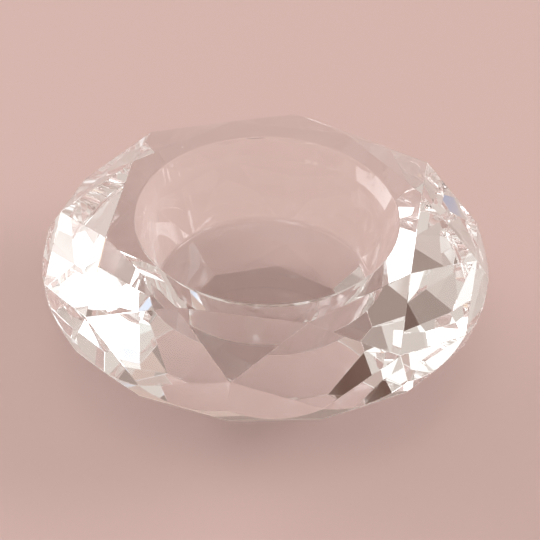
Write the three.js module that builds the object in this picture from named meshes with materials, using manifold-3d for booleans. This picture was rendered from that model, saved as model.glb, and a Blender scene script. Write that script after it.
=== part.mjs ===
// Crystal tealight holder: one block of cut glass with an open round well for a tealight.
// Millimetres, +Z up. The origin is the centre of the flat base. The cut has eight-fold symmetry:
// a flat top, stars, kites and upper triangles, a round band, lower triangles and mains, a flat base.
// The band is what the flat facets leave of a round blank, so its edges rise and dip from facet to facet.

import * as THREE from 'three';
import { mergeVertices } from 'three/addons/utils/BufferGeometryUtils.js';
import Module from 'manifold-3d';

// Driving dimensions of the cut.
const SIDES = 8;                    // sides of the flat top, and of the flat base
const TABLE_CORNER_RADIUS = 28.7;   // corners of the flat top
const STAR_REACH = 8.9;             // star points, outside the top's corners
const STAR_DROP = 4.65;             // star points, below the top
const GIRDLE_REACH = 2.4;           // the round band, outside the star points
const BAND_HEIGHT = 2.4;            // the band at its corners, where it is highest
const PAVILION_HEIGHT = 22.6;       // from the base to the band's corners
const BASE_CORNER_RADIUS = 16.2;    // corners of the flat base
const LOWER_POINT_REACH = 12.6;     // where mains and lower triangles meet, outside the base's corners

// Driving dimensions of the well.
const TEALIGHT_RADIUS = 19.0;       // an ordinary tealight cup
const TEALIGHT_CLEARANCE = 0.65;    // between the cup and the wall's foot
const WALL_DRAFT = 2.55;            // the wall widens by this much towards the mouth
const LIP_WIDTH = 1.1;              // polished slope at the mouth, seen from above
const LIP_DEPTH = 3.4;              // the same slope, seen from the side
const WELL_DEPTH = 17.2;            // from the flat top to the well's floor
const FLOOR_FILLET = 1.2;           // round between the floor and the wall

// Fineness of the round surfaces.
const WELL_STEPS = 96;
const FILLET_STEPS = 6;
const EDGE_STEPS = 6;               // along the band's edge, for each facet that ends on it

const CUT_OVERSHOOT = 1.0;          // how far the well's tool stands above the flat top

const glass = new THREE.MeshStandardMaterial({
    color: 0xf4f1ee,
    roughness: 0.03,
    metalness: 0,
    transparent: true,
    opacity: 0.4,
});

// One corner for each side, all at one height. Corner i + half lies half a side after corner i.
function ring(radius, height, half = 0) {
    const corners = [];
    for (let i = 0; i < SIDES; i += 1) {
        const angle = (2 * Math.PI * (i + 0.5 + half)) / SIDES;
        corners.push(new THREE.Vector3(radius * Math.cos(angle), radius * Math.sin(angle), height));
    }
    return corners;
}

// The height where a facet's plane stands at one radius. The plane holds a flat octagon's side at
// flatRadius and flatHeight, and one corner at cornerRadius and cornerHeight in front of that side.
function heightOnFacet(flatRadius, flatHeight, cornerRadius, cornerHeight, radius) {
    const slope = (cornerHeight - flatHeight) / (cornerRadius - flatRadius);
    return flatHeight + slope * (radius - flatRadius);
}

// The edge where a flat facet meets the round band. The facet lies in the plane of an inner corner
// and the edge's two ends, and each point of the edge stands where the band's cylinder meets that plane.
function bandEdge(inner, from, to) {
    const plane = new THREE.Plane().setFromCoplanarPoints(inner, from, to);
    const radius = Math.hypot(from.x, from.y);
    const start = Math.atan2(from.y, from.x);
    const edge = [from];
    for (let k = 1; k < EDGE_STEPS; k += 1) {
        const angle = start + ((Math.PI / SIDES) * k) / EDGE_STEPS;
        const point = new THREE.Vector3(radius * Math.cos(angle), radius * Math.sin(angle), 0);
        point.z = -plane.distanceToPoint(point) / plane.normal.z;
        edge.push(point);
    }
    edge.push(to);
    return edge;
}

// A facet that ends on the band and the stretch of band under it or over it share one edge.
// The band's stretch is a row of upright strips between its upper and its lower edge.
function bandStrips(upperEdge, lowerEdge) {
    const strips = [];
    for (let k = 0; k < EDGE_STEPS; k += 1) {
        strips.push([upperEdge[k], lowerEdge[k], lowerEdge[k + 1], upperEdge[k + 1]]);
    }
    return strips;
}

// The cut block, as a list of flat facets. Each facet runs counter-clockwise seen from outside.
function cutBlock() {
    const alongSide = Math.cos(Math.PI / SIDES);
    const starRadius = TABLE_CORNER_RADIUS + STAR_REACH;
    const girdleRadius = starRadius + GIRDLE_REACH;
    const lowerPointRadius = BASE_CORNER_RADIUS + LOWER_POINT_REACH;
    const baseSideRadius = BASE_CORNER_RADIUS * alongSide;

    // A kite holds a table corner, two star points and a girdle corner in one plane, which sets
    // how far the girdle lies below the table.
    const girdleDrop = -heightOnFacet(
        TABLE_CORNER_RADIUS, 0, starRadius * alongSide, -STAR_DROP, girdleRadius,
    );
    const bandFoot = PAVILION_HEIGHT;
    const bandTop = bandFoot + BAND_HEIGHT;
    const top = bandTop + girdleDrop;
    const lowerPointHeight = heightOnFacet(
        baseSideRadius, 0, girdleRadius, bandFoot, lowerPointRadius * alongSide,
    );

    const table = ring(TABLE_CORNER_RADIUS, top);
    const stars = ring(starRadius, top - STAR_DROP, 0.5);
    const upper = ring(girdleRadius, bandTop);
    const upperHalf = ring(girdleRadius, bandTop, 0.5);
    const lower = ring(girdleRadius, bandFoot);
    const lowerHalf = ring(girdleRadius, bandFoot, 0.5);
    const points = ring(lowerPointRadius, lowerPointHeight, 0.5);
    const base = ring(BASE_CORNER_RADIUS, 0, 0.5);

    const facets = [table, [...base].reverse()];
    for (let i = 0; i < SIDES; i += 1) {
        const next = (i + 1) % SIDES;
        const before = (i + SIDES - 1) % SIDES;
        facets.push([table[i], stars[i], table[next]]);
        facets.push([table[i], stars[before], upper[i], stars[i]]);
        facets.push([lower[i], points[before], base[before], base[i], points[i]]);
        const upperCorners = [upper[i], upperHalf[i], upper[next]];
        const lowerCorners = [lower[i], lowerHalf[i], lower[next]];
        for (const half of [0, 1]) {
            const upperEdge = bandEdge(stars[i], upperCorners[half], upperCorners[half + 1]);
            const lowerEdge = bandEdge(points[i], lowerCorners[half], lowerCorners[half + 1]);
            facets.push([stars[i], ...upperEdge]);
            facets.push([points[i], ...[...lowerEdge].reverse()]);
            facets.push(...bandStrips(upperEdge, lowerEdge));
        }
    }
    return { facets, top };
}

// Each facet becomes a fan of triangles from its first corner.
function facetGeometry(facets) {
    const corners = [];
    for (const facet of facets) {
        for (let i = 1; i + 1 < facet.length; i += 1) {
            corners.push(facet[0], facet[i], facet[i + 1]);
        }
    }
    return new THREE.BufferGeometry().setFromPoints(corners);
}

// The well as a tool that stands above the flat top: floor, fillet, drafted wall, lip.
function wellGeometry(top) {
    const floor = top - WELL_DEPTH;
    const footRadius = TEALIGHT_RADIUS + TEALIGHT_CLEARANCE;
    const lipFootRadius = footRadius + WALL_DRAFT;
    const mouthRadius = lipFootRadius + LIP_WIDTH;
    const lipSlope = LIP_WIDTH / LIP_DEPTH;
    const profile = [new THREE.Vector2(0, floor)];
    for (let i = 0; i <= FILLET_STEPS; i += 1) {
        const angle = (Math.PI / 2) * (i / FILLET_STEPS);
        profile.push(new THREE.Vector2(
            footRadius - FLOOR_FILLET + FLOOR_FILLET * Math.sin(angle),
            floor + FLOOR_FILLET - FLOOR_FILLET * Math.cos(angle),
        ));
    }
    profile.push(new THREE.Vector2(lipFootRadius, top - LIP_DEPTH));
    profile.push(new THREE.Vector2(mouthRadius + lipSlope * CUT_OVERSHOOT, top + CUT_OVERSHOOT));
    profile.push(new THREE.Vector2(0, top + CUT_OVERSHOOT));
    return new THREE.LatheGeometry(profile, WELL_STEPS).rotateX(Math.PI / 2);
}

// A closed geometry as a manifold solid: equal points joined, triangles without area left out.
function toSolid(wasm, geometry) {
    const bare = new THREE.BufferGeometry();
    bare.setAttribute('position', geometry.getAttribute('position'));
    bare.setIndex(geometry.getIndex());
    const merged = mergeVertices(bare, 1e-5);
    const index = merged.getIndex().array;
    const triangles = [];
    for (let i = 0; i < index.length; i += 3) {
        const [a, b, c] = index.slice(i, i + 3);
        if (a !== b && b !== c && c !== a) {
            triangles.push(a, b, c);
        }
    }
    return new wasm.Manifold(new wasm.Mesh({
        numProp: 3,
        vertProperties: new Float32Array(merged.getAttribute('position').array),
        triVerts: new Uint32Array(triangles),
    }));
}

// A manifold solid as a flat-shaded geometry.
function toGeometry(solid) {
    const mesh = solid.getMesh();
    const geometry = new THREE.BufferGeometry();
    geometry.setAttribute('position', new THREE.BufferAttribute(new Float32Array(mesh.vertProperties), 3));
    geometry.setIndex(new THREE.BufferAttribute(new Uint32Array(mesh.triVerts), 1));
    const flat = geometry.toNonIndexed();
    flat.computeVertexNormals();
    return flat;
}

const wasm = await Module();
wasm.setup();

const block = cutBlock();
const body = toSolid(wasm, facetGeometry(block.facets))
    .subtract(toSolid(wasm, wellGeometry(block.top)));

const holder = new THREE.Group();
const crystalBody = new THREE.Mesh(toGeometry(body), glass);
crystalBody.name = 'crystal_body';
holder.add(crystalBody);

export default holder;
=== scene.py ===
# %% [markdown]
# # A crystal tealight holder
#
# This file dresses one block of cut glass: a low brilliant-style cut with a round well in its
# flat top, where a tealight stands. The block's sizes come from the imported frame. What Blender
# adds is what the light needs: a smooth round well and band, a narrow polished arris along every
# edge, a clear glass with the small marks that grinding and handling leave, and a plain studio
# to look into. All lengths are in metres.

import bpy
import numpy as np
from mathutils import Matrix


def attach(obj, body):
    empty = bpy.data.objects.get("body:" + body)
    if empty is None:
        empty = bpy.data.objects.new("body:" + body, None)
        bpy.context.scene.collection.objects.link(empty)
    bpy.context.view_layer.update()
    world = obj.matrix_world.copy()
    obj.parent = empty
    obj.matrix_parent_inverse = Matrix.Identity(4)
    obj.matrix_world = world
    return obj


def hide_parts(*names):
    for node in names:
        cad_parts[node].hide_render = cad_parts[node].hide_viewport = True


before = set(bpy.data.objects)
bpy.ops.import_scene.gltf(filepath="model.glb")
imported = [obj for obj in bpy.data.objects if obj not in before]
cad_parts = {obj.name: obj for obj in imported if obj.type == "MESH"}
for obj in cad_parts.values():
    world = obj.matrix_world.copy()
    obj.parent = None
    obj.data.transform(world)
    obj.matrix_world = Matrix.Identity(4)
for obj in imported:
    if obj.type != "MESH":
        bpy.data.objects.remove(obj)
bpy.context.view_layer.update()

# %% [markdown]
# ## Sizes from the frame
#
# The CAD node is symmetric, so its corners lie on rings round the axis: each ring has one radius
# and one height. The widest ones are the round band's. Inside the mouth's radius lie the well's,
# and the other four are the cut's: base, lower points, star points and the flat top's corners.
# Reading them here keeps every size in one place, the CAD source.

# %% Read the rings of the cut, the band and the well
MM_PER_M = 1000.0
DIGITS = 5
SAME_PLACE = 1e-5

cad_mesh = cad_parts["crystal_body"].data
corners = np.empty(len(cad_mesh.vertices) * 3)
cad_mesh.vertices.foreach_get("co", corners)
corners = corners.reshape(-1, 3)

from_axis = np.hypot(corners[:, 0], corners[:, 1])
rings = np.unique(np.round(np.column_stack([corners[:, 2], from_axis]), DIGITS), axis=0)
top_height = rings[:, 0].max()
girdle_radius = rings[:, 1].max()
mouth_radius = rings[rings[:, 0] > top_height - SAME_PLACE, 1].min()
on_band = rings[:, 1] > girdle_radius - SAME_PLACE
in_well = (rings[:, 1] < mouth_radius + SAME_PLACE) & (rings[:, 0] > SAME_PLACE)
band = rings[on_band]
well = rings[in_well]
base, point, star, table = rings[~on_band & ~in_well]
base_radius, table_radius = base[1], table[1]
point_height, point_radius = point
star_height, star_radius = star
band_foot, band_top = band[0, 0], band[-1, 0]
floor_height = well[0, 0]
lip_foot = well[-2]
foot_radius = well[-3, 1]
floor_fillet = well[-3, 0] - floor_height
print(f"cut: {2 * MM_PER_M * girdle_radius:.1f} mm across, {MM_PER_M * top_height:.1f} mm high")
print(f"band: {MM_PER_M * (band_top - band_foot):.2f} mm high at its corners")
print(f"well: floor at {MM_PER_M * floor_height:.1f} mm")
print(f"mouth: {2 * MM_PER_M * mouth_radius:.1f} mm across")

# %% [markdown]
# ## The well's profile
#
# The real well is ground with a shaped tool and polished: a flat floor, a small round, a wall
# that widens a little towards the mouth, a steeper lip, and a rounded arris where the lip meets
# the flat top. A profile of five corners says all of that once each corner gets its own round.
# The round is the arc that touches both sides: for a corner with half-angle h between its sides
# and a round of radius r, the arc starts r / tan(h) away from the corner.

# %% A polyline with rounded corners
def rounded(points, radii, steps):
    """The polyline through points, with an arc of radii[i] at each inner corner i.

    The arc's centre lies on the corner's bisector, r / sin(h) from the corner, where h is half
    the angle between the two sides. The arc turns about it from one tangent point to the other.
    """
    line = [points[:1]]
    for before, corner, after, radius, count in zip(points, points[1:], points[2:], radii, steps):
        to_before = (before - corner) / np.linalg.norm(before - corner)
        to_after = (after - corner) / np.linalg.norm(after - corner)
        half = np.arccos(np.clip(to_before @ to_after, -1, 1)) / 2
        bisector = (to_before + to_after) / np.linalg.norm(to_before + to_after)
        centre = corner + bisector * radius / np.sin(half)
        start = corner + to_before * radius / np.tan(half) - centre
        end = corner + to_after * radius / np.tan(half) - centre
        share = np.linspace(0, 1, count + 1)[:, None]
        turn = np.arccos(np.clip(start @ end / radius**2, -1, 1))
        arc = (np.sin((1 - share) * turn) * start + np.sin(share * turn) * end) / np.sin(turn)
        line.append(centre + arc)
    line.append(points[-1:])
    return np.concatenate(line)


MOUTH_ARRIS = 0.0003
LIP_BLEND = 0.0005
TOP_MARGIN = 0.0009
FILLET_STEPS = 24
LIP_STEPS = 12
profile_corners = np.array(
    [
        [0.0, floor_height],
        [foot_radius, floor_height],
        [lip_foot[1], lip_foot[0]],
        [mouth_radius, top_height],
        [mouth_radius + TOP_MARGIN, top_height],
    ]
)
profile = rounded(
    profile_corners,
    radii=[floor_fillet, LIP_BLEND, MOUTH_ARRIS],
    steps=[FILLET_STEPS, LIP_STEPS, LIP_STEPS],
)[1:-1]
print(f"well profile: {len(profile)} points")

# %% [markdown]
# ## Rings round the axis
#
# Everything on this block stands on rings round one axis: the corners of the cut, eight to a
# ring, and the smooth band and well, with many more. One helper makes them all, so that a step
# of the fine rings always falls on a corner of the coarse ones, and the pieces can share points.

# %% Rings of corners and of fine steps
SIDES = 8
SIDE_STEPS = 64
STEPS = SIDE_STEPS * SIDES


def ring(radius, height, half=0.0, count=SIDES):
    """Points on a circle: point i stands at the angle 2 pi (i / count + (1/2 + half) / SIDES)."""
    angle = 2 * np.pi * (np.arange(count) / count + (0.5 + half) / SIDES)
    return np.column_stack(
        [radius * np.cos(angle), radius * np.sin(angle), np.broadcast_to(height, count)]
    )


# %% [markdown]
# ## The round band's edges
#
# The blank was turned round before the facets were ground, so the band that is left between the
# upper and the lower facets is a strip of a cylinder. A flat facet cuts a cylinder along a curve,
# which dips at the middle of each upper facet and rises at the middle of each lower one. A facet
# holds two corners of the band and one inner corner, half of the facet's width to the side of
# its middle. Its plane therefore slopes along the direction of its middle only, and the curve
# is that slope times how far the circle stands out from the chord between the two corners.

# %% Heights along the band's edges
def band_edge(corner_height, inner_radius, inner_height):
    """Height of an edge of the band at each fine step.

    With a for half a facet's angle and d for the angle from the facet's middle, the circle stands
    R (cos d - cos a) outside the chord, and the inner corner lies (R - r) cos a inside it.
    """
    half = np.pi / (2 * SIDES)
    turn = 2 * np.pi * np.arange(STEPS) / STEPS
    from_middle = turn % (2 * half) - half
    stands_out = girdle_radius * (np.cos(from_middle) - np.cos(half))
    slope = (corner_height - inner_height) / ((girdle_radius - inner_radius) * np.cos(half))
    return corner_height + slope * stands_out


upper_edge = band_edge(band_top, star_radius, star_height)
lower_edge = band_edge(band_foot, point_radius, point_height)
narrowest = (upper_edge - lower_edge).min()
print(f"band: {MM_PER_M * narrowest:.2f} mm high at the middle of a facet")

# %% [markdown]
# ## The block as one closed mesh
#
# A boolean cut would leave slivers that glass shows as streaks, so the mesh is joined by hand.
# The cut is a list of flat facets between rings. The well is its profile carried round the axis.
# Between them lies the flat top, as eight faces: each holds one side of the top and the stretch
# of the mouth in front of it, so that the top's edge stays one edge. The band has two extra rings
# close to its edges, which keep its middle a true cylinder when smooth shading rounds its rims.

# %% Points of the cut
BAND_RIM = 0.00009
BAND_ROWS = 3

TABLE, STAR, POINT, BASE = (SIDES * k for k in range(4))
LOWER = 4 * SIDES
UPPER = LOWER + BAND_ROWS * STEPS
cut_points = np.concatenate(
    [
        ring(table_radius, top_height),
        ring(star_radius, star_height, 0.5),
        ring(point_radius, point_height, 0.5),
        ring(base_radius, 0.0, 0.5),
        ring(girdle_radius, lower_edge, count=STEPS),
        ring(girdle_radius, lower_edge + BAND_RIM, count=STEPS),
        ring(girdle_radius, upper_edge - BAND_RIM, count=STEPS),
        ring(girdle_radius, upper_edge, count=STEPS),
    ]
)
print(f"cut: {len(cut_points)} points")

# %% Facets of the cut and strips of the band
i = np.arange(SIDES)
after = (i + 1) % SIDES
before = (i - 1) % SIDES
half_steps = SIDE_STEPS // 2
first_half = (i[:, None] * SIDE_STEPS + np.arange(half_steps + 1)) % STEPS
second_half = (first_half + half_steps) % STEPS
corner_step = i * SIDE_STEPS
facets = [
    np.column_stack([TABLE + i, STAR + i, TABLE + after]),
    np.column_stack([TABLE + i, STAR + before, UPPER + corner_step, STAR + i]),
    np.column_stack([STAR + i, UPPER + first_half]),
    np.column_stack([STAR + i, UPPER + second_half]),
    np.column_stack([POINT + i, LOWER + first_half[:, ::-1]]),
    np.column_stack([POINT + i, LOWER + second_half[:, ::-1]]),
    np.column_stack([LOWER + corner_step, POINT + before, BASE + before, BASE + i, POINT + i]),
    (BASE + i)[::-1][None],
]


def strips(first, rows):
    """Four-sided faces between neighbouring rings of STEPS points, the lowest ring first."""
    row, step = np.meshgrid(np.arange(rows), np.arange(STEPS), indexing="ij")
    here = first + row * STEPS + step
    there = first + row * STEPS + (step + 1) % STEPS
    return np.column_stack([a.ravel() for a in (here, there, there + STEPS, here + STEPS)])


band_faces = strips(LOWER, BAND_ROWS)
print(f"cut: {sum(len(f) for f in facets)} facets; band: {len(band_faces)} faces")

# %% The well's surface and the flat top round it
well_points = np.concatenate([ring(r, z, count=STEPS) for r, z in profile])
WELL = len(cut_points)
well_faces = strips(WELL, len(profile) - 1)[:, ::-1]
well_floor = (WELL + np.arange(STEPS))[None]
mouth = WELL + (len(profile) - 1) * STEPS
mouth_steps = (i[:, None] * SIDE_STEPS + np.arange(SIDE_STEPS, -1, -1)) % STEPS
top_faces = np.column_stack([TABLE + i, TABLE + after, mouth + mouth_steps])
print(f"well: {len(well_faces)} faces on {len(profile)} levels")

# %% [markdown]
# ## Arrises
#
# No ground edge is perfectly sharp: the polisher breaks it to a line about a tenth of a
# millimetre wide, which catches the light and draws the thin bright lines of the cut. A Bevel
# modifier with weights makes them, on the facets' edges alone. The weight belongs to an edge
# when both of its ends follow each other round one of the facets.

# %% The block, with an arris along every edge of the cut
ARRIS = 0.00007
ARRIS_SEGMENTS = 2
KEY_STRIDE = 1_000_000


def mesh_of(name, points, flat, smooth=()):
    """A mesh from one array of points, a list of flat face arrays and a list of smooth ones."""
    mesh = bpy.data.meshes.new(name)
    faces = [face.tolist() for block in (*flat, *smooth) for face in block]
    mesh.from_pydata(points.tolist(), [], faces)
    is_smooth = np.zeros(len(mesh.polygons), dtype=bool)
    is_smooth[sum(len(block) for block in flat) :] = True
    mesh.polygons.foreach_set("use_smooth", is_smooth)
    mesh.update()
    return mesh


def edge_keys(pairs):
    """One number for each edge, whichever end comes first: low end * KEY_STRIDE + high end."""
    return pairs.min(axis=1) * KEY_STRIDE + pairs.max(axis=1)


crystal_mesh = mesh_of(
    "cut_crystal",
    np.concatenate([cut_points, well_points]),
    flat=facets + [top_faces, well_floor],
    smooth=[band_faces, well_faces],
)
ends = np.empty(2 * len(crystal_mesh.edges), dtype=int)
crystal_mesh.edges.foreach_get("vertices", ends)
facet_edges = [np.stack([f, np.roll(f, -1, axis=1)], axis=2).reshape(-1, 2) for f in facets]
is_arris = np.isin(edge_keys(ends.reshape(-1, 2)), edge_keys(np.concatenate(facet_edges)))
weights = crystal_mesh.attributes.new("bevel_weight_edge", "FLOAT", "EDGE")
weights.data.foreach_set("value", is_arris.astype(np.float32))

crystal = bpy.data.objects.new("cut_crystal", crystal_mesh)
bpy.context.scene.collection.objects.link(crystal)
arris = crystal.modifiers.new("arris", "BEVEL")
arris.limit_method = "WEIGHT"
arris.width = ARRIS
arris.segments = ARRIS_SEGMENTS
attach(crystal, "root")
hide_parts("crystal_body")
print(f"crystal: {len(crystal_mesh.polygons)} faces, {is_arris.sum()} edges get an arris")

# %% [markdown]
# ## Node groups for the finish
#
# Clear glass has no colour of its own to paint, so its finish lies in its surface: how flat the
# polish left it, and what settled on it since. Each effect is a shader node group on the block's
# own coordinates, in metres, so it stays on the glass from any side. Small helpers keep the node
# code short: they add a node with its inputs, one step of arithmetic, a smooth step, a noise or
# a mix of two colours, and they open a new group. A Mix node has sockets for several kinds of
# value, so the numbers of its colour sockets are named.

# %% Helpers for node trees
NUMBER = "NodeSocketFloat"
COLOUR = "NodeSocketColor"
MIX_SHARE, MIX_FIRST, MIX_SECOND, MIX_RESULT = 0, 6, 7, 2


def add_node(tree, kind, inputs=(), **settings):
    """A node of one kind. A value in inputs is a constant or another node's output."""
    node = tree.nodes.new(kind)
    for name, value in settings.items():
        setattr(node, name, value)
    for name, value in dict(inputs).items():
        if isinstance(value, bpy.types.NodeSocket):
            tree.links.new(value, node.inputs[name])
        else:
            node.inputs[name].default_value = value
    return node


def calculate(tree, operation, *values):
    """One step of arithmetic between numbers or node outputs."""
    return add_node(tree, "ShaderNodeMath", enumerate(values), operation=operation).outputs[0]


def ramp(tree, value, low, high):
    """A smooth step: 0 where value is under low, 1 where it is over high."""
    limits = {"Value": value, "From Min": low, "From Max": high}
    return add_node(tree, "ShaderNodeMapRange", limits, interpolation_type="SMOOTHSTEP").outputs[0]


def mix_colours(tree, share, first, second):
    """The first colour where share is 0 and the second where it is 1."""
    inputs = {MIX_SHARE: share, MIX_FIRST: first, MIX_SECOND: second}
    return add_node(tree, "ShaderNodeMix", inputs, data_type="RGBA").outputs[MIX_RESULT]


def noise(tree, vector, scale, **inputs):
    """Smooth noise between 0 and 1, whose grains are about 1 / scale metres across."""
    inputs = {"Vector": vector, "Scale": scale, **inputs}
    return add_node(tree, "ShaderNodeTexNoise", inputs).outputs["Fac"]


def new_group(name, inputs, outputs):
    """A shader node group. Each of inputs and outputs maps a socket's name to its type."""
    group = bpy.data.node_groups.new(name, "ShaderNodeTree")
    for in_out, sockets in (("INPUT", inputs), ("OUTPUT", outputs)):
        for socket, kind in sockets.items():
            group.interface.new_socket(socket, in_out=in_out, socket_type=kind)
    given = group.nodes.new("NodeGroupInput").outputs
    result = group.nodes.new("NodeGroupOutput").inputs
    return group, given, result


print("helpers: add_node, calculate, ramp, mix_colours, noise, new_group")

# %% [markdown]
# ## How flat the polish is
#
# A facet is lapped flat by hand on a wheel, so it is flat to about a hundredth of a millimetre
# over its width, and what it mirrors bends very slightly. The well's wall is ground with a round
# tool and polished with a soft bob, which follows every unevenness: it keeps low ripples, longer
# upwards than round the wall. Both are heights for a Bump node, in millimetres.

# %% Group: polished surface
WAVE_SCALE = 75.0
RIPPLE_SCALE = 260.0
RIPPLE_STRETCH = (1.0, 1.0, 0.35)
PATCH_SCALE = 45.0
PATCH_EDGE = (0.42, 0.62)

polish, given, result = new_group(
    "polished_surface",
    {
        "Facet wave": NUMBER,
        "Wall ripple": NUMBER,
        "Wall radius": NUMBER,
        "Wall foot": NUMBER,
    },
    {"Height": NUMBER},
)
position = add_node(polish, "ShaderNodeTexCoord").outputs["Object"]
split = add_node(polish, "ShaderNodeSeparateXYZ", {0: position}).outputs
wave = noise(polish, position, WAVE_SCALE, Detail=1.0, Roughness=0.4)
stretched = add_node(
    polish, "ShaderNodeMapping", {"Vector": position, "Scale": RIPPLE_STRETCH}
).outputs["Vector"]
ripple = noise(polish, stretched, RIPPLE_SCALE, Detail=2.0, Distortion=0.6)
patch = ramp(polish, noise(polish, position, PATCH_SCALE, Detail=0.0), *PATCH_EDGE)
across_x = calculate(polish, "MULTIPLY", split["X"], split["X"])
across_y = calculate(polish, "MULTIPLY", split["Y"], split["Y"])
across = calculate(polish, "SQRT", calculate(polish, "ADD", across_x, across_y))
inside = calculate(polish, "LESS_THAN", across, given["Wall radius"])
above = calculate(polish, "GREATER_THAN", split["Z"], given["Wall foot"])
on_wall = calculate(polish, "MULTIPLY", calculate(polish, "MULTIPLY", inside, above), patch)
ripple_height = calculate(polish, "MULTIPLY", ripple, given["Wall ripple"])
wall_height = calculate(polish, "MULTIPLY", ripple_height, on_wall)
facet_height = calculate(polish, "MULTIPLY", wave, given["Facet wave"])
polish.links.new(calculate(polish, "ADD", facet_height, wall_height), result["Height"])
print("group:", polish.name, "with", len(polish.nodes), "nodes")

# %% [markdown]
# ## Dust and wiping marks
#
# Close up, a glass that has been handled carries specks of dust and faint smears where a cloth
# went over it. Each makes the surface a little rough, and rough glass scatters what the clear
# glass passes straight on. A speck is the middle of a cell in a cell texture, in some cells only.
# A smear is a noise stretched along one direction, cut off so that most of the glass stays clear.

# %% Group: dust and smears
EMPTY_CELLS = 0.72
WIPE_TURN = (0.0, 0.0, 0.6)
WIPE_STRETCH = (1.0, 0.12, 1.0)
STREAK_SCALE = 420.0
STREAK_EDGE = (0.56, 0.78)

marks, given, result = new_group(
    "dust_and_smears",
    {
        "Cell size": NUMBER,
        "Speck size": NUMBER,
        "Speck": NUMBER,
        "Smear": NUMBER,
        "Clean": COLOUR,
        "Dusty": COLOUR,
    },
    {"Roughness": NUMBER, "Colour": COLOUR},
)
position = add_node(marks, "ShaderNodeTexCoord").outputs["Object"]
cell = add_node(
    marks,
    "ShaderNodeTexVoronoi",
    {"Vector": position, "Scale": calculate(marks, "DIVIDE", 1.0, given["Cell size"])},
).outputs
lot = add_node(marks, "ShaderNodeSeparateColor", {0: cell["Color"]}).outputs
reach = calculate(marks, "MULTIPLY", cell["Distance"], given["Cell size"])
size = calculate(marks, "MULTIPLY", given["Speck size"], lot["Green"])
in_speck = calculate(marks, "LESS_THAN", reach, size)
chosen = calculate(marks, "GREATER_THAN", lot["Red"], EMPTY_CELLS)
is_speck = calculate(marks, "MULTIPLY", in_speck, chosen)
speck = calculate(marks, "MULTIPLY", is_speck, given["Speck"])
wiped = add_node(
    marks,
    "ShaderNodeMapping",
    {"Vector": position, "Rotation": WIPE_TURN, "Scale": WIPE_STRETCH},
).outputs["Vector"]
streak = noise(marks, wiped, STREAK_SCALE, Detail=3.0, Roughness=0.7)
smear = calculate(marks, "MULTIPLY", ramp(marks, streak, *STREAK_EDGE), given["Smear"])
marks.links.new(calculate(marks, "MAXIMUM", speck, smear), result["Roughness"])
dusty = mix_colours(marks, is_speck, given["Clean"], given["Dusty"])
marks.links.new(dusty, result["Colour"])
print("group:", marks.name, "with", len(marks.nodes), "nodes")

# %% [markdown]
# ## The glass
#
# Optical glass is clear: what it looks like is what stands round it, bent and mirrored by the
# facets. So the colour stays near white, and the index of refraction of crown glass does the work.
# The two groups add the only things that the surface itself shows.

# %% Clear optical glass
GLASS_COLOUR = (0.99, 0.99, 0.985, 1)
DUST_COLOUR = (0.80, 0.78, 0.74, 1)
CROWN_GLASS_INDEX = 1.512
FACET_WAVE_MM = 0.012
WALL_RIPPLE_MM = 0.5
CELL_SIZE = 0.0035
SPECK_SIZE = 0.00016
SPECK_ROUGHNESS = 0.45
SMEAR_ROUGHNESS = 0.03

glass = bpy.data.materials.new("optical_glass")
glass.use_nodes = True
tree = glass.node_tree
shader = tree.nodes["Principled BSDF"]
shader.inputs["IOR"].default_value = CROWN_GLASS_INDEX
shader.inputs["Transmission Weight"].default_value = 1.0

surface = add_node(tree, "ShaderNodeGroup", node_tree=polish)
surface.inputs["Facet wave"].default_value = FACET_WAVE_MM
surface.inputs["Wall ripple"].default_value = WALL_RIPPLE_MM
surface.inputs["Wall radius"].default_value = mouth_radius
surface.inputs["Wall foot"].default_value = floor_height + floor_fillet
bump = add_node(tree, "ShaderNodeBump", {"Height": surface.outputs["Height"], "Strength": 1.0})
bump.inputs["Distance"].default_value = 1 / MM_PER_M
tree.links.new(bump.outputs["Normal"], shader.inputs["Normal"])

handled = add_node(tree, "ShaderNodeGroup", node_tree=marks)
handled.inputs["Cell size"].default_value = CELL_SIZE
handled.inputs["Speck size"].default_value = SPECK_SIZE
handled.inputs["Speck"].default_value = SPECK_ROUGHNESS
handled.inputs["Smear"].default_value = SMEAR_ROUGHNESS
handled.inputs["Clean"].default_value = GLASS_COLOUR
handled.inputs["Dusty"].default_value = DUST_COLOUR
tree.links.new(handled.outputs["Roughness"], shader.inputs["Roughness"])
tree.links.new(handled.outputs["Colour"], shader.inputs["Base Color"])

crystal.data.materials.append(glass)
print("glass: index of refraction", round(shader.inputs["IOR"].default_value, 3))

# %% [markdown]
# ## The floor
#
# The holder stands on a plain, pale, warm pink surface with no more than a soft sheen. A wide
# disc is enough, with its edge far behind the block in every view. It lies a twentieth of a
# millimetre under the block, so that the two flat faces don't fight for the same place.

# %% Floor
FLOOR_COLOUR = (0.575, 0.405, 0.378, 1)
FLOOR_RADIUS = 6.0
FLOOR_GAP = 0.00005
FLOOR_ROUGHNESS = 0.55
FLOOR_SHEEN = 0.7

floor_disc = ring(FLOOR_RADIUS, -FLOOR_GAP, count=STEPS)
floor_mesh = mesh_of("floor", floor_disc, flat=[np.arange(STEPS)[None]])
floor = bpy.data.objects.new("floor", floor_mesh)
bpy.context.scene.collection.objects.link(floor)
floor_material = bpy.data.materials.new("pale_floor")
floor_material.use_nodes = True
floor_shader = floor_material.node_tree.nodes["Principled BSDF"]
floor_shader.inputs["Base Color"].default_value = FLOOR_COLOUR
floor_shader.inputs["Roughness"].default_value = FLOOR_ROUGHNESS
floor_shader.inputs["Specular IOR Level"].default_value = FLOOR_SHEEN
floor_mesh.materials.append(floor_material)
print("floor:", len(floor_mesh.polygons), "face")

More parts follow.
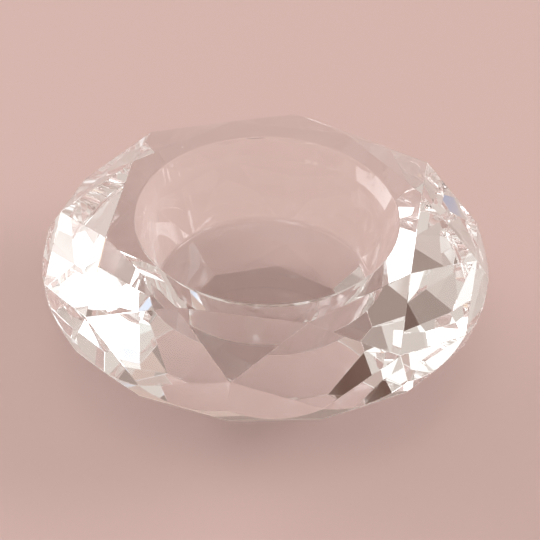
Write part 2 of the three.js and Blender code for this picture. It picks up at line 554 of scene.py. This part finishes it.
# %% [markdown]
# ## The camera
#
# The view was fitted to the corners of the flat top and of the stars, which the photograph shows
# sharply. The lens is long, so the lines of the cut hardly converge. The camera looks down at 41
# degrees, turned 8 degrees to one side and rolled a little.

# %% Camera, from the photo's view
CAMERA_TURN = 7.87
CAMERA_ELEVATION = 40.98
CAMERA_DISTANCE = 0.298
CAMERA_ROLL = 1.54
FOCAL_PIXELS = 1689.0
TABLE_CENTRE_PIXEL = (266.8, 215.4)
IMAGE_SIZE = 540
SENSOR_WIDTH = 36.0
NEAREST_SEEN = 0.01


def camera_axes(turn, elevation, roll):
    """Right, up and back axes of a camera that looks along +Y at turn 0. Angles in degrees."""
    a, e, r = np.radians([turn, elevation, roll])
    forward = np.array([-np.sin(a) * np.cos(e), np.cos(a) * np.cos(e), -np.sin(e)])
    level = np.array([np.cos(a), np.sin(a), 0.0])
    rise = np.cross(level, forward)
    right = level * np.cos(r) + rise * np.sin(r)
    up = rise * np.cos(r) - level * np.sin(r)
    return right, up, -forward


right, up, back = camera_axes(CAMERA_TURN, CAMERA_ELEVATION, CAMERA_ROLL)
across, down = (pixel - IMAGE_SIZE / 2 for pixel in TABLE_CENTRE_PIXEL)
per_pixel = CAMERA_DISTANCE / FOCAL_PIXELS
top_centre = np.array([0, 0, top_height])
place = top_centre + back * CAMERA_DISTANCE + (up * down - right * across) * per_pixel
camera_data = bpy.data.cameras.new("camera")
camera_data.sensor_width = SENSOR_WIDTH
camera_data.lens = SENSOR_WIDTH * FOCAL_PIXELS / IMAGE_SIZE
camera_data.clip_start = NEAREST_SEEN
camera = bpy.data.objects.new("camera", camera_data)
bpy.context.scene.collection.objects.link(camera)
turned = Matrix(np.column_stack([right, up, back])).to_4x4()
camera.matrix_world = Matrix.Translation(place) @ turned
bpy.context.scene.camera = camera
print("camera:", [round(c, 3) for c in place], f"lens {camera_data.lens:.1f} mm")

# %% [markdown]
# ## Light from cards and softboxes
#
# Glass is lit from behind and from the sides: a softbox then shows through the facets as clean
# white shapes, white cards brighten a facet, and dark ones draw its edges. Lamps and cards could
# be objects round the block. Here the world holds them, as soft rectangles by direction, because
# a cut block shows only the direction they stand in. A node group makes one rectangle over
# whatever lies below it, and each card is that same group with its own place, size and colour.

# %% Group: one soft card
CARD_SOFTNESS = 3.0
HALF_TURN = 180.0

card_group, given, result = new_group(
    "soft_card",
    {
        "Below": COLOUR,
        "Azimuth": NUMBER,
        "Elevation": NUMBER,
        "Card azimuth": NUMBER,
        "Card elevation": NUMBER,
        "Wide": NUMBER,
        "High": NUMBER,
        "Card": COLOUR,
    },
    {"Colour": COLOUR},
)
aside = calculate(card_group, "SUBTRACT", given["Azimuth"], given["Card azimuth"])
aside = calculate(card_group, "WRAP", aside, HALF_TURN, -HALF_TURN)
aside = calculate(card_group, "ABSOLUTE", aside)
above = calculate(card_group, "SUBTRACT", given["Elevation"], given["Card elevation"])
above = calculate(card_group, "ABSOLUTE", above)
masks = []
for away, size in ((aside, given["Wide"]), (above, given["High"])):
    depth = calculate(card_group, "SUBTRACT", calculate(card_group, "MULTIPLY", size, 0.5), away)
    masks.append(ramp(card_group, depth, -CARD_SOFTNESS / 2, CARD_SOFTNESS / 2))
on_card = calculate(card_group, "MULTIPLY", *masks)
covered = mix_colours(card_group, on_card, given["Below"], given["Card"])
card_group.links.new(covered, result["Colour"])
print("group:", card_group.name, "with", len(card_group.nodes), "nodes")

# %% [markdown]
# ## The world's directions
#
# In the world, the Generated coordinate is the ray's direction as a unit vector. Its azimuth is
# the angle of its x and y, and its elevation the arcsine of its z.

# %% The world and the direction of a ray
world = bpy.data.worlds.new("studio")
bpy.context.scene.world = world
world.use_nodes = True
studio = world.node_tree
direction = add_node(studio, "ShaderNodeTexCoord").outputs["Generated"]
split = add_node(studio, "ShaderNodeSeparateXYZ", {0: direction}).outputs
ray_azimuth = calculate(studio, "DEGREES", calculate(studio, "ARCTAN2", split["Y"], split["X"]))
ray_elevation = calculate(studio, "DEGREES", calculate(studio, "ARCSINE", split["Z"]))


def lay_cards(below, cards):
    """Lay cards over the colour below, each over the ones before.

    A card is its azimuth, elevation, width and height in degrees, and its colour. Azimuth 0 is
    +X and 90 is +Y.
    """
    for name, (azimuth, elevation, wide, high, colour) in cards.items():
        card = add_node(
            studio,
            "ShaderNodeGroup",
            {
                "Below": below,
                "Azimuth": ray_azimuth,
                "Elevation": ray_elevation,
                "Card azimuth": azimuth,
                "Card elevation": elevation,
                "Wide": wide,
                "High": high,
                "Card": (*colour, 1),
            },
            node_tree=card_group,
            label=name,
        )
        below = card.outputs["Colour"]
    return below


print("world:", world.name)

# %% [markdown]
# ## What lights the floor
#
# The floor is lit by a plain pale backdrop, two softboxes to the left and right of the block, a
# little behind it, and a weak one above its front. The block focuses the side ones on the floor
# in front of it, as soft bright patches, and the weak one keeps its shadow light.

# %% The backdrop and the softboxes that light the floor
BACKDROP = (0.60, 0.56, 0.53, 1)
SOFTBOXES = {
    "left_softbox": (158, 15, 50, 22, (7.5, 7.4, 7.3)),
    "right_softbox": (14, 24, 40, 34, (5.8, 5.75, 5.7)),
    "front_softbox": (270, 66, 60, 30, (2.9, 2.8, 2.7)),
}
light = lay_cards(BACKDROP, SOFTBOXES)
print("light:", list(SOFTBOXES))

# %% [markdown]
# ## What the glass shows
#
# A photograph can't hold a softbox's full brightness, and it shows as plain white. The glass
# therefore gets a room of its own to show, in which the softboxes are weaker, and which has
# more cards: they are what gives each facet another tone. Cut glass also splits light
# into colours, which the renderer doesn't follow. Two slim coloured cards at the rims of the
# right softbox and a small blue one stand in for that.

# %% The room that shows in the glass
ROOM_LOW = (0.73, 0.65, 0.60, 1)
ROOM_HIGH = (0.36, 0.27, 0.235, 1)
ROOM_FADE = (52.0, 72.0)
CARDS = {
    "pink_backdrop": (98, 39, 80, 50, (0.60, 0.46, 0.41)),
    "front_room": (308.5, 35, 136, 69, (0.66, 0.56, 0.51)),
    "left_front_card": (212, 8, 16, 32, (1.2, 1.18, 1.15)),
    "right_back_card": (40, 20, 35, 19.5, (0.85, 0.83, 0.78)),
    "left_softbox": (165.5, 8, 53, 17, (4.0, 4.0, 4.0)),
    "left_high_card": (194.6, 35.5, 30, 32, (1.2, 1.18, 1.14)),
    "right_softbox_edge": (4.6, 24.4, 37, 40, (1.3, 1.3, 1.3)),
    "right_softbox": (13, 24, 20, 32, (4.0, 4.0, 4.0)),
    "front_strip_light": (241, 9.5, 14, 22, (2.0, 2.0, 1.9)),
    "front_dark_card": (251.6, 9, 36, 8, (0.23, 0.14, 0.11)),
    "right_front_dark_card": (327, 11.4, 12, 6, (0.01, 0.01, 0.01)),
    "front_high_dark_card": (309.6, 57, 15, 5, (0.01, 0.01, 0.01)),
    "left_ceiling_beam": (169.6, 72, 47, 4, (0.15, 0.08, 0.06)),
    "back_brown_card": (101, 43, 24, 7, (0.46, 0.27, 0.23)),
    "back_high_card": (55.7, 56.6, 56, 24, (0.64, 0.48, 0.42)),
    "front_ceiling_light": (278, 63, 16, 4.5, (1.4, 1.4, 1.38)),
    "ceiling_light": (308.4, 75, 13.5, 13.5, (1.8, 1.8, 1.75)),
    "right_front_card": (325.3, 26, 21, 27, (0.83, 0.77, 0.72)),
    "low_right_card": (6.9, 9.8, 22.5, 15.3, (0.76, 0.64, 0.60)),
    "warm_fringe": (4.6, 4.2, 34, 2.5, (1.60, 1.05, 0.55)),
    "cool_fringe": (4.6, 45.0, 34, 2.0, (0.82, 0.92, 1.10)),
    "front_blue_card": (256, 50, 6, 3, (0.26, 0.37, 0.62)),
}
upwards = ramp(studio, ray_elevation, *ROOM_FADE)
room = lay_cards(mix_colours(studio, upwards, ROOM_LOW, ROOM_HIGH), CARDS)
print("room:", len(CARDS), "cards")

# %% [markdown]
# ## Which ray sees which
#
# The Light Path node tells them apart. A ray that the glass has mirrored or bent on its way from
# the camera sees the room. The camera itself sees the room's plain colour, without a card. What
# left the floor sees the light, also by way of the glass. Diffuse Depth counts how often a ray
# was scattered on its way, and under a half means never.

# %% Join the light and the room
SCATTERED = 0.5

ray = add_node(studio, "ShaderNodeLightPath").outputs
by_glass = calculate(studio, "MAXIMUM", ray["Is Glossy Ray"], ray["Is Transmission Ray"])
not_from_floor = calculate(studio, "LESS_THAN", ray["Diffuse Depth"], SCATTERED)
in_glass = calculate(studio, "MULTIPLY", by_glass, not_from_floor)
plain = mix_colours(studio, ray["Is Camera Ray"], light, ROOM_LOW)
seen_by_floor = add_node(studio, "ShaderNodeBackground", {"Color": plain}).outputs[0]
seen_by_glass = add_node(studio, "ShaderNodeBackground", {"Color": room}).outputs[0]
choice = {0: in_glass, 1: seen_by_floor, 2: seen_by_glass}
either = add_node(studio, "ShaderNodeMixShader", choice).outputs[0]
studio.links.new(either, studio.nodes["World Output"].inputs["Surface"])
studio.nodes.remove(studio.nodes["Background"])
print("world nodes:", len(studio.nodes))

# %% [markdown]
# ## Light paths
#
# Light turns many times inside a cut block before it leaves. A path that is given up too early
# leaves a black shard, so the renderer is told to follow each one for up to 32 turns.

# %% Light paths long enough for a cut block
LIGHT_PATH_LENGTH = 32
light_paths = bpy.context.scene.cycles
light_paths.max_bounces = LIGHT_PATH_LENGTH
light_paths.glossy_bounces = LIGHT_PATH_LENGTH
light_paths.transmission_bounces = LIGHT_PATH_LENGTH
print("light paths:", light_paths.max_bounces, "turns")

# %% [markdown]
# ## View
#
# The view transform is Standard, so a colour shows as it is written.

# %% View and finish
bpy.context.scene.view_settings.view_transform = "Standard"
